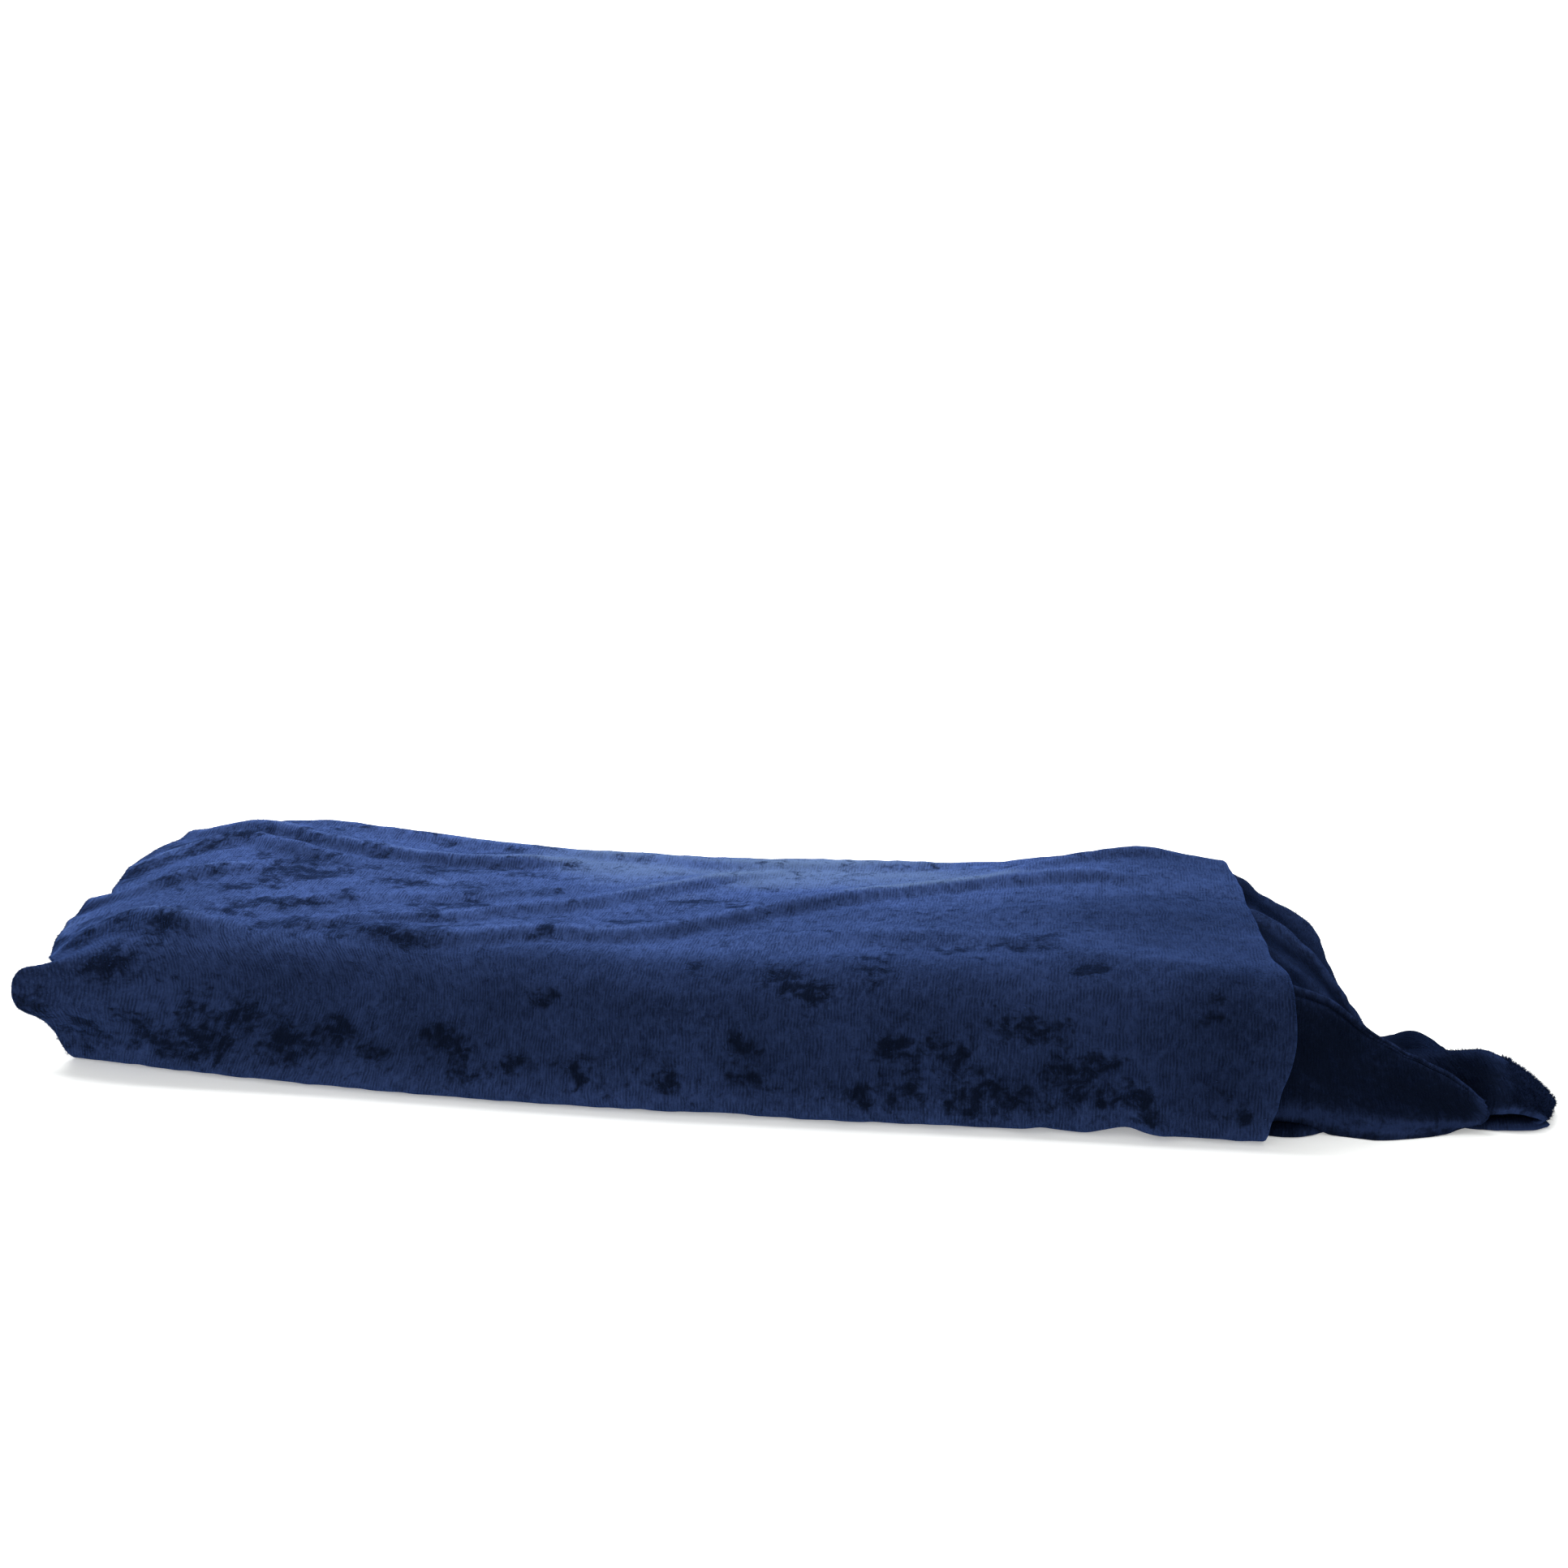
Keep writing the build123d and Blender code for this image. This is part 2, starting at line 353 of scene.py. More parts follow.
# ---------------------------------------------------------------- the last turn and cut end
CREASES = [  # points (x, y) on the top, height, reach behind, reach in front
    # the near ear's ridge, the valley behind it, the middle ear's ridge and the far ear's steps
    ([(-530, -128), (-470, -114), (-450, -99), (-436, -89), (-418, -88), (-385, -97), (-320, -104)],
     8.0, 10, 11),
    ([(-530, -72), (-466, -62), (-446, -42), (-430, -18), (-412, -6)], -9.0, 11, 12),
    ([(-520, -44), (-455, -36), (-438, -30), (-418, -20), (-400, -6), (-380, 4), (-350, 6)], 6.0, 9, 8),
    ([(-520, 8), (-466, 10), (-452, 30), (-440, 46), (-424, 60), (-404, 68), (-374, 54), (-340, 42),
      (-300, 34)], 4.5, 7, 9),
    ([(-520, 104), (-436, 93), (-418, 92), (-398, 88), (-372, 78), (-348, 68), (-302, 57), (-257, 54),
      (-200, 62), (-140, 74)], 5.0, 12, 6),
    ([(-420, 118), (-370, 112), (-310, 104), (-240, 98), (-160, 104)], 2.6, 10, 8),
    # the long folds across the middle
    ([(-330, -104), (-251, -69), (-207, -56), (-184, -38), (-134, -12), (-86, 27), (-40, 60),
      (0, 78)], 3.4, 15, 7),
    ([(-360, -70), (-300, -40), (-250, -22), (-205, -12), (-150, 18), (-110, 48)], 1.8, 12, 8),
    ([(-290, -90), (-207, -98), (-148, -76), (-94, -69), (-36, -30), (3, -1), (45, 27), (88, 44),
      (127, 55), (177, 57), (245, 48)], 5.0, 20, 8),
    ([(130, 58), (177, 85), (284, 122)], 3.4, 12, 8),
    ([(-180, 100), (-60, 88), (40, 96), (150, 118)], 2.6, 10, 8),
    ([(-20, -70), (60, -52), (140, -58), (215, -74)], 2.4, 16, 14),
    ([(150, -94), (190, -88), (240, -90), (300, -102)], 2.4, 14, 12),
]
LEFT_RIM = [  # perimeter place, and where the cloth's left-hand edge is there
    (0, (-452, 90, 0.6)), (190, (-452, -95, 0.6)), (222, (-453, -119, 2)), (232, (-457, -121, 9)),
    (240, (-460, -123, 18)), (247, (-462, -126, 24)), (253, (-466, -128, 29.5)),
    (260, (-474, -130, 34)), (266, (-480, -131, 38)), (272, (-483, -131, 44)),
    (280, (-484, -129, 51)), (290, (-483, -127, 58)), (298, (-478, -125, 63.5)),
    (306, (-471, -122, 65)), (318, (-463, -112, 63)), (330, (-471, -97, 59)),
    (345, (-477, -84, 61)), (360, (-478, -76, 66)), (374, (-477, -66, 71)),
    (388, (-479, -56, 75)), (402, (-477, -44, 78.5)), (416, (-472, -31, 78)),
    (430, (-469, -14, 75)), (444, (-474, 2, 75.5)), (458, (-476, 15, 75.5)), (470, (-475, 24, 76.5)),
    (482, (-475, 36, 79)), (496, (-474, 52, 82)), (512, (-467, 68, 86)), (528, (-458, 86, 88)),
    (545, (-450, 104, 88)), (562, (-445, 118, 83)), (580, (-442, 129, 72)),
    (600, (-441, 136, 52)), (637, (-441, 137, 12)),
]
RIGHT_EDGE = [  # perimeter place, and how far the right-hand fold is from the winding's end
    (0, -6), (190, -8), (222, -7), (232, -5), (240, -2), (250, 0), (261, 4), (275, 7), (290, 7.5),
    (305, 6.5), (318, 5.5), (330, 4), (341, 1), (352, -3), (384, -6), (413, -9), (449, -13),
    (487, -15), (505, -17), (530, -21), (554, -24), (570, -27), (600, -24), (637, -18),
]


def crease_heights(x, y):
    """The folds across the top, steep in front and long behind, and how near their crests are: high on
    a crest and low just in front of it, for painted highlight and shade.
    """
    total, crests = np.zeros_like(x), np.zeros_like(x)
    for points, height, behind, front in CREASES:
        p = np.array(points, float)
        along = np.concatenate([[0], np.cumsum(np.linalg.norm(np.diff(p, axis=0), axis=1))])
        line = through(along, p, np.linspace(0, along[-1], 60))
        centre_y = np.interp(x, line[:, 0], line[:, 1])
        slope = np.interp(x, line[:, 0], np.gradient(line[:, 1], line[:, 0]))
        distance = (y - centre_y) / np.sqrt(1 + slope**2)
        ends = ease((x - line[0, 0]) / 40) * ease((line[-1, 0] - x) / 60)
        crest = np.where(distance > 0, bell(distance, behind), bell(distance, front))
        trough = 0.22 * bell(distance + 1.7 * front, 0.9 * front)
        total += height * ends * (crest - trough)
        crests += height * ends * (bell(distance - 1, 4.5) - 0.8 * bell(distance + front, front))
    return total, crests


def winding_outline():
    """The last turn's path as (y, z), from under the bolt round to the cut end."""
    outline = rounded_outline(
        HALF_DEPTH, HALF_HEIGHT, SOFT_CORNER, TIGHT_CORNER, (12, 7, 20, 26, 82, 16, 18, 4)
    )
    y, z = outline[:, 0], outline[:, 1]
    return outline[~((y > 92) & (z < 11))]


def last_turn_grid(columns=244):
    """The last turn's outer face without its creases, and each point's x and perimeter place."""
    outline = winding_outline()
    s = np.concatenate([[0], np.cumsum(np.linalg.norm(np.diff(outline, axis=0), axis=1))])
    x = np.linspace(RIM_START, WOUND_RIGHT, columns)
    X, S = np.meshgrid(x, s)
    Y, Z = np.repeat(outline[:, :1], columns, 1), np.repeat(outline[:, 1:], columns, 1)
    Y, Z = settle(X, Y, Z)
    edge = through([k for k, _ in RIGHT_EDGE], [v for _, v in RIGHT_EDGE], s)
    X = X + edge[:, None] * ease((x - 150) / 160)[None]
    grid = np.stack([X, Y, Z], axis=2)
    rim = through([k for k, _ in LEFT_RIM], [v for _, v in LEFT_RIM], s)
    fall = 62 + 42 * bell(s - 277, 34)
    weight = (1 - np.clip((x[None] - RIM_START) / fall[:, None], 0, 1)) ** 2.2
    grid = grid + weight[..., None] * (rim - grid[:, 0])[:, None]
    return grid, X, S


FOOT_FOLDS = [  # x and height of the small upright folds along the front's foot
    (118, 2.2), (150, -2.4), (171, 2.6), (192, -2.0), (266, -1.8), (60, 1.8), (20, -1.6),
]


def relief(grid, X, S):
    """How far the last turn stands off its settled shape, point by point."""
    y = grid[..., 1]
    top = ease((S - 300) / 40) * ease((600 - S) / 50)
    height = crease_heights(X, y)[0] * top * (0.5 + 0.5 * ease((X - RIM_START) / 55))
    height += 2.6 * bell(X - 150, 95) * bell(y + 18, 36) * top
    front = ease((S - 222) / 14) * ease((330 - S) / 40)
    height += 1.5 * noise(X, S * 0.6, 34, 3) * front
    height += 0.8 * noise(X, S, 15, 4) * front
    height += 0.9 * noise(X * 0.4, S, 20, 5) * top
    height += 0.45 * noise(X, S, 9, 6)
    low = ease((S - 218) / 10) * ease((285 - S) / 45)
    lean = X + 0.35 * (S - 240)
    height += low * (4.2 * bell(lean - 238, 11) - 4.6 * bell(lean - 217, 9))
    for place, size in FOOT_FOLDS:
        height += low * size * bell(X - 0.5 * (S - 240) - place, 8)
    rear = ease((S - 575) / 30)
    height += rear * 2.2 * np.sin(X / 47 + 1.3 * np.sin(X / 83)) * ease((S - 560) / 80)
    return height


def hem_lift(X, S):
    """How far the low front edge is off the surface where the last turn pleats."""
    low = ease((S - 175) / 35) * ease((262 - S) / 34)
    return low * (4.6 * bell(X - 221, 13) + 1.4 * bell(X - 176, 12) + 1.0 * bell(X + 20, 22))


CRUSHED = [  # dark patches: x, perimeter place, half width, half height
    (-455, 268, 16, 9), (-392, 252, 14, 12), (-352, 246, 12, 16), (-330, 262, 16, 10),
    (-410, 300, 14, 12), (-382, 322, 12, 8), (-300, 250, 10, 12), (-265, 258, 12, 8),
    (-196, 256, 15, 12), (-188, 246, 10, 9), (-430, 338, 18, 9), (-452, 352, 14, 8),
    (-345, 372, 15, 7), (-318, 380, 12, 6), (-360, 352, 9, 6), (-420, 420, 20, 8),
    (-300, 345, 10, 7), (-230, 332, 12, 8), (-205, 338, 9, 6), (-372, 402, 20, 6),
    (-330, 432, 26, 6), (-262, 430, 18, 6), (-205, 400, 12, 6), (-150, 352, 10, 6),
    (-100, 380, 14, 7), (-60, 430, 16, 7), (-30, 418, 10, 5), (-448, 470, 16, 14),
    (-410, 500, 22, 8), (-40, 318, 9, 6), (15, 312, 16, 10), (30, 300, 12, 8),
    (62, 334, 12, 8), (70, 318, 8, 7), (80, 268, 10, 8), (90, 248, 9, 14),
    (120, 262, 12, 10), (150, 244, 15, 9), (165, 280, 20, 10), (185, 256, 11, 14),
    (205, 262, 14, 8), (222, 244, 13, 9), (236, 236, 9, 7), (130, 236, 12, 6),
    (60, 238, 10, 7), (0, 240, 12, 6), (-60, 240, 12, 7), (-110, 244, 10, 7),
    (110, 352, 12, 5), (148, 356, 16, 5), (170, 368, 10, 6), (-150, 244, 9, 6),
    (285, 240, 10, 6), (268, 300, 8, 5), (-240, 244, 9, 7), (-375, 238, 16, 7),
    (200, 330, 8, 4), (-10, 262, 8, 6), (-130, 286, 9, 7), (-430, 248, 10, 9),
]


def crushed_patches(X, S):
    """From 0 to 1, how near a point is to the heart of a dark patch where the pile lies flat."""
    total = np.zeros_like(X)
    warp_x, warp_s = 9 * noise(X, S, 13, 21), 7 * noise(X, S, 11, 22)
    for x, s, wide, high in CRUSHED:
        distance = ((X + warp_x - x) / (1.25 * wide)) ** 2 + ((S + warp_s - s) / (1.2 * high)) ** 2
        total = np.maximum(total, np.exp(-distance))
    # the front's lower half and left-hand end are mottled all over
    low = ease((S - 215) / 20) * ease((330 - S) / 70)
    top = ease((S - 300) / 40)
    mottled = low * (0.28 + 0.30 * ease((-X - 130) / 200)) + 0.18 * top
    streaked = top * (0.24 + 0.38 * ease((-X - 60) / 160))
    streaks = streaked * ease((noise(X * 0.8, S, 13, 28) - 0.05) / 0.5)
    total = total + (1 - total) * streaks
    return total + (1 - total) * mottled * (0.6 + 0.7 * noise(X, S, 30, 23))


def painted_pile_light(grid, X, S):
    """Painted light and shade on the pile: lighter over the top and along the crests, darker over the
    top's right and the front's right-hand end, and lighter along the low front corner.
    """
    y = grid[..., 1]
    right = ease((X + 320) / 180)
    top = ease((S - 290 - 28 * right) / (58 - 24 * right)) * ease((625 - S) / 60)
    # painted light: lighter over the top, most around the middle on its rear half
    level = 0.68 + 0.62 * bell(X + 40, 230) * ease((y + 10) / 90) * ease((604 - S) / 56)
    # painted shade: darker on the front of the top right of the middle, and darker still towards the
    # right-hand end
    level -= 0.26 * ease((X + 60) / 140) * ease((40 - y) / 60) + 0.5 * ease((X - 90) / 160)
    level += 0.16 * noise(X * 0.6, S, 48, 25) + 0.10 * noise(X * 0.5, S, 17, 26)
    # painted highlights along the crests, painted shade just in front of them
    level += 0.085 * crease_heights(X, y)[1]
    # on the front: random tone, and painted shade towards the right-hand end
    front = 0.10 * noise(X, S, 40, 27) - 0.14 * ease((X - 170) / 90) * (1 - top)
    # painted light along the low front corner
    hem = (0.38 + 0.1 * ease(-X / 300)) * bell(S - 222, 16)
    return np.clip(top * level + front + hem, -0.3, 1.6)


def make_last_turn():
    """The last turn with its ears and cut end, its loose pile, and its outer face."""
    grid, X, S = last_turn_grid()
    # dark patches where the pile lies flat, and the pile's painted light and shade
    floats = {"crush_and_shade": crushed_patches(X, S), "painted_light": painted_pile_light(grid, X, S)}
    height = relief(grid, X, S)
    grid = grid + normals(grid) * height[..., None]
    grid[..., 2] = np.maximum(grid[..., 2] + hem_lift(X, S), 0.4)
    twist = 0.4 * ease((-X - 60) / 260) * (S - 218) * ease((330 - S) / 60)
    piece = doubled_cloth("last_turn", grid, DOUBLED, np.stack([X - twist, S], axis=2), floats)
    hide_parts("last_turn_bottom", "last_turn_front", "last_turn_top", "cut_end",
                "near_ear", "middle_ear", "far_ear")
    shown = S[:, 0] > 224  # the rest of the rim lies on the surface
    uv = np.stack([X, S], axis=2)
    fuzz = fibres(
        "last_turn_pile",
        [
            fringe(grid[shown, 0], grid[shown, 3], uv[shown, 0], 5, (0.8, 3.2), 92),
            fringe(grid[-1], grid[-3], uv[-1], 2, (0.6, 2.0), 95),
            pile(grid, uv, (0.1, 1), (0, 1), 9000, (0.6, 1.4), 0.7, 93),
            pile(grid, uv, (0.2, 0.95), (0, 0.35), 7000, (0.7, 1.6), 0.7, 94),
        ],
        FIBRE,
        painted_light=0.5,
    )
    for part in (piece, fuzz):
        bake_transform(part)
    return piece, fuzz, grid


# ---------------------------------------------------------------- the turns inside
TURNS = 10
TURN_PITCH = 3.25
FIRST_TURN = 1.6  # the first turn's distance from the channel that holds the board
HEM_PLEATS = -60  # its low front edge is off the surface in places, from here on
SAG_END = -330  # the last turn sags at the left-hand end, up to here


def make_inner_turns(last_turn):
    """The rest of the cloth, wound outwards from the board in one long spiral, and
    pressed together where the last turn sags onto it."""
    counts = (9, 2, 3, 5, 9, 5, 3, 2)
    steps = sum(counts)
    path, offsets = [], []
    for turn in range(TURNS):
        start = FIRST_TURN + TURN_PITCH * turn

        def outline(offset):
            depth = min(CORE_HALF_DEPTH + offset, HALF_DEPTH - DOUBLED - 0.6)
            return rounded_outline(
                depth, CORE_HALF_HEIGHT + offset, min(1 + offset, 38), 1 + 0.22 * offset, counts
            )

        t = (np.arange(steps) / steps)[:, None]
        path.append(outline(start) * (1 - t) + outline(start + TURN_PITCH) * t)
        offsets.append(start + TURN_PITCH * t[:, 0])
    path = np.concatenate(path)
    s = np.concatenate([[0], np.cumsum(np.linalg.norm(np.diff(path, axis=0), axis=1))])
    left = WOUND_LEFT + 5.0 * noise(s, 0 * s, 90, 31) + 3.0 * noise(s, 0 * s, 23, 32)
    left = left - 9 * (path[:, 1] < 34) + 12 * ease((path[:, 1] - 60) / 25)
    right = WOUND_RIGHT - 16 - 18 * ease((path[:, 1] - 60) / 22) + 2.5 * noise(s, 0 * s, 120, 33)
    # columns are close together at both ends, which show, and far apart between them
    share = np.concatenate(
        [np.linspace(0, 0.08, 13), np.linspace(0.08, 0.9, 12)[1:], np.linspace(0.9, 1, 6)[1:]]
    )
    X = left[:, None] * (1 - share) + right[:, None] * share
    Y, Z = np.repeat(path[:, :1], len(share), 1), np.repeat(path[:, 1:], len(share), 1)
    Y, Z = settle(X, Y, Z)
    Z = Z + bell(X + 445, 30) * 0.5 * noise(s[:, None], X, 26, 34)
    grid = np.stack([X, Y, np.maximum(Z, 0.5)], axis=2)
    below = FIRST_TURN + TURNS * TURN_PITCH - np.concatenate(offsets)
    depth = DOUBLED + 0.3 + 0.4 * np.repeat(below[:, None], len(share), 1)
    sagging = (X < SAG_END) & (Z > ABOVE_CHANNEL)
    lifted = (X > HEM_PLEATS) & (Y < -90) & (Z < 24)
    touched = sagging | lifted
    grid[touched] = press_inside(grid[touched], depth[touched], last_turn)
    S = np.repeat(s[:, None], len(share), 1)
    # no dark patches, and a little painted light all over
    floats = {"crush_and_shade": 0 * X, "painted_light": 0 * X + 0.2}
    piece = doubled_cloth("inner_turns", grid, INNER_DOUBLED, np.stack([X, S], axis=2), floats)
    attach(piece, "winding")
    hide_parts("layers_below_board", "layers_above_board", "front_turn_bends",
                "rear_turn_bends", "lower_lip")
    return piece


# ---------------------------------------------------------------- slipped layers, right-hand end
# Each row of points (x, y, z) runs from under the last turn out to the hem, and the
# rows go from the floor in front over the folds to the floor behind.
OVERHANG = [
    [(290, -124, 5), (314, -125, 8), (330, -124, 6.5), (346, -127, 2), (368, -129, 1.5),
     (390, -124, 1.5), (409, -117, 2), (425, -111, 4)],
    [(290, -125, 12), (314, -124, 13), (332, -121, 12), (350, -122, 10), (370, -121, 7.5),
     (391, -117, 6), (412, -112, 6), (431, -110.5, 6)],
    [(290, -126, 26), (314, -121, 24), (334, -117, 22), (352, -114, 19), (371, -112, 15),
     (392, -110, 12), (413, -109, 10), (434.5, -109.5, 9)],
    [(290, -126, 54), (313, -116, 54), (331, -111, 49), (349, -108, 42), (368, -106.5, 33),
     (390, -106, 25), (413, -106.5, 18), (436, -108, 12.5)],
    [(290, -122, 76), (309, -113, 77), (325, -108, 74), (342, -105, 67), (360, -104, 55),
     (388, -104.5, 41), (414, -105, 29), (435, -105.5, 15.5)],
    [(288, -108, 86), (309, -104, 84.5), (325, -101, 81), (343, -101, 73), (363, -101.5, 58.5),
     (389, -101.5, 44.5), (415, -102, 31), (434, -101.5, 17)],
    [(286, -86, 90), (308, -86, 84), (325, -88, 76), (345, -93, 66), (365, -97, 53),
     (388, -97, 41), (413, -96, 28.5), (431, -95, 12)],
    [(286, -52, 91), (307, -55, 84), (326, -60, 72), (346, -72, 55), (366, -84, 38),
     (386, -90, 25), (405, -91, 16), (421, -89, 6)],
    [(284, -14, 91.5), (305, -14, 87), (322, -26, 79), (341, -40, 66), (360, -58, 48),
     (374, -74, 32), (390, -82, 18), (404, -83, 4)],
    [(282, 24, 92), (303, 26, 88.5), (319, 8, 84), (337, -14, 74), (354, -38, 57),
     (368, -60, 40), (382, -72, 20), (393, -76, 3)],
    [(280, 54, 92), (301, 54, 88), (317, 40, 80), (335, 16, 69), (352, -10, 52),
     (366, -34, 34), (379, -52, 15), (389, -60, 2)],
    [(278, 80, 92), (298, 82, 89), (314, 74, 80), (333, 57, 72), (349, 38, 59),
     (361, 14, 39), (374, -10, 19), (387, -24, 2)],
    [(274, 100, 91.5), (295, 104, 88), (310, 100, 78), (331, 88, 70), (348, 73, 62),
     (354, 50, 46), (368, 26, 24), (385, 8, 3)],
    [(270, 114, 87), (292, 119, 80), (309, 115, 66), (330, 105, 54), (346, 92, 42),
     (357, 70, 22), (370, 46, 9), (383, 26, 2)],
    [(268, 124, 62), (290, 125, 50), (307, 121, 36), (328, 113, 22), (344, 101, 12),
     (357, 82, 5), (369, 60, 3), (380, 40, 2)],
]
FOLD_LINES = [  # row of the net, height, half width in rows, and its painted light (painted shade where negative)
    (0.8, 0.0, 0.6, 1.6), (2.9, 0.0, 0.9, -0.2), (4.15, 1.0, 0.16, 0.3), (4.5, -1.2, 0.18, -0.3),
    (5.0, 2.0, 0.22, 1.3), (5.7, 0.0, 0.4, 0.3), (6.8, -2.4, 0.6, -0.5), (7.5, 1.0, 0.2, 0.3),
    (8.1, -1.2, 0.3, -0.5), (8.85, 2.6, 0.3, 1.6), (10.2, -2.4, 0.6, -0.6), (11.3, 1.2, 0.25, 0.4),
    (12.1, -1.6, 0.4, -0.6), (12.8, 1.4, 0.3, 0.2), (13.8, 0.0, 0.5, -0.5),
]


def make_overhang():
    """The layers that droop from the winding's end to the surface, and their loose pile."""
    rows, cols = 190, 84
    grid = lofted(OVERHANG, rows, cols)
    uv = cloth_coordinates(grid)
    U, V = uv[..., 0], uv[..., 1]
    row = np.linspace(0, len(OVERHANG) - 1, rows)[:, None] + 0 * U
    row = row + 0.12 * noise(U, 0 * U, 26, 45)
    height = 1.3 * noise(U * 0.5, V, 17, 41) + 0.7 * noise(U, V, 9, 42)
    painted_light = 0.05 + 0.18 * noise(U, V, 22, 44)
    # each fold line paints light on its crest, or shade in its trough where its value is negative
    for place, high, wide, light in FOLD_LINES:
        height += high * bell(row - place, wide)
        painted_light += light * bell(row - place, wide)
    height *= ease(U / 16)
    grid = grid + normals(grid) * height[..., None]
    # a painted highlight on the rounded lip at the hem
    lip = bell(U - U[:, -1:], 7) * bell(row - 3.6, 1.8)
    painted_light += 1.2 * lip
    # painted shade: the slipped layer is darker all over, most on its upright wall near rows 3 and 7,
    # with random patches; less at the lip and the foot
    crush_and_shade = 0.5 + 0.3 * bell(row - 3.1, 1.2) + 0.2 * bell(row - 7, 1) + 0.3 * noise(U, V, 22, 43)
    crush_and_shade = crush_and_shade - 0.6 * lip - 0.3 * bell(row - 0.8, 0.6)
    floats = {"crush_and_shade": np.clip(crush_and_shade, 0, 1), "painted_light": painted_light}
    piece = doubled_cloth("slipped_layer", grid, INNER_DOUBLED, uv, floats, rim_steps=5)
    fuzz = fibres(
        "slipped_layer_pile",
        [
            pile(grid, uv, (0.25, 0.5), (0.2, 1), 1500, (0.6, 1.4), 0.7, 46),
            pile(grid, uv, (0.6, 1), (0.1, 1), 3000, (0.7, 1.5), 0.7, 47),
            fringe(grid[:, -1], grid[:, -3], uv[:, -1], 3, (0.6, 2.0), 48),
        ],
        FIBRE,
        painted_light=0.2,
    )
    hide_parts("front_fold", "middle_fold", "rear_fold")
    for part in (piece, fuzz):
        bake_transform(part)
    return piece, fuzz


# The folds that lie on the floor. The lobe's rows run from its hidden end over its
# crest and tip and back along the floor, and the rows go from the near edge back.
FLOOR_LOBE = [
    [(386, -94, 3), (408, -96, 4), (424, -98, 6), (437, -102, 10), (450, -104, 13),
     (462, -102, 11.5), (471, -99, 6), (463, -98, 2.2), (430, -95, 2)],
    [(386, -90, 19), (408, -91, 20), (426, -93, 21), (442, -97, 20.5), (456, -97, 18),
     (468, -94, 11.5), (475, -92, 4.5), (462, -92, 1.8), (430, -90, 1.5)],
    [(376, -83, 30), (408, -83, 36), (425, -83, 37), (441, -83, 36), (455, -83, 30),
     (468, -83, 21), (479, -82, 7), (464, -82, 1.8), (430, -82, 1.5)],
    [(372, -68, 30), (408, -68, 35), (425, -68, 36), (441, -68, 35), (456, -68, 29),
     (471, -68, 18), (482, -68, 4), (466, -68, 1.8), (430, -68, 1.5)],
    [(370, -52, 24), (408, -52, 28), (425, -52, 30), (441, -52, 29), (456, -52, 23),
     (470, -54, 13), (480, -55, 3), (466, -54, 1.8), (430, -52, 1.5)],
    [(374, -36, 14), (406, -36, 17), (424, -36, 19), (440, -36, 17), (453, -38, 11.5),
     (464, -42, 6), (472, -44, 2), (460, -42, 1.6), (430, -38, 1.5)],
    [(382, -22, 4), (407, -21, 5), (423, -21, 6), (437, -22, 5), (447, -25, 3.5),
     (456, -30, 2.2), (461, -33, 1.6), (450, -33, 1.5), (430, -30, 1.5)],
]
REAR_HUMP = [
    [(374, -48, 1.5), (376, -30, 1.5), (379, -10, 1.5), (382, 8, 1.5), (385, 20, 1.5),
     (387, 30, 1.5)],
    [(380, -48, 2), (382, -30, 9), (386, -10, 10), (389, 8, 7), (391, 20, 4), (393, 31, 1.6)],
    [(393, -48, 2), (396, -30, 14), (400, -10, 17.5), (403, 8, 14), (405, 20, 8.5), (405, 32, 2)],
    [(405, -48, 2), (408, -30, 14), (411, -10, 16.5), (414, 8, 13), (415, 20, 7.5), (414, 32, 2)],
    [(414, -48, 2), (417, -28, 8), (421, -10, 8.5), (423, 8, 6.5), (422, 20, 4), (420, 30, 1.6)],
    [(418, -46, 1.5), (422, -26, 1.5), (426, -10, 1.5), (428, 8, 1.5), (427, 20, 1.5),
     (423, 29, 1.5)],
]
UNDER_FOLD = [
    [(284, -128, 1.6), (316, -132.5, 2.4), (331, -128, 2.2), (342, -119, 2)],
    [(284, -124, 4.5), (316, -128.5, 4.5), (330, -124.5, 4), (340, -117, 3)],
    [(284, -114, 6), (316, -118, 6), (330, -115, 5), (339, -112, 4)],
    [(284, -104, 5), (316, -106, 5), (330, -106, 5), (338, -106, 4)],
]
UNDER_LOBE = [
    [(412, -101, 2), (430, -104.5, 2.2), (447, -105, 2.4), (463, -102.5, 2.4), (474, -95, 2)],
    [(412, -97, 3), (430, -100.5, 3.6), (446, -101, 4.2), (461, -98.5, 4.4), (471.5, -92, 3.4)],
    [(412, -88, 3), (430, -90, 4), (445, -90, 4.4), (457, -89, 4), (466, -85, 3)],
    [(412, -76, 2.2), (430, -76, 2.2), (443, -76, 2.2), (452, -76, 2.2), (459, -76, 2)],
]


FLOOR_DOUBLED = 2.4


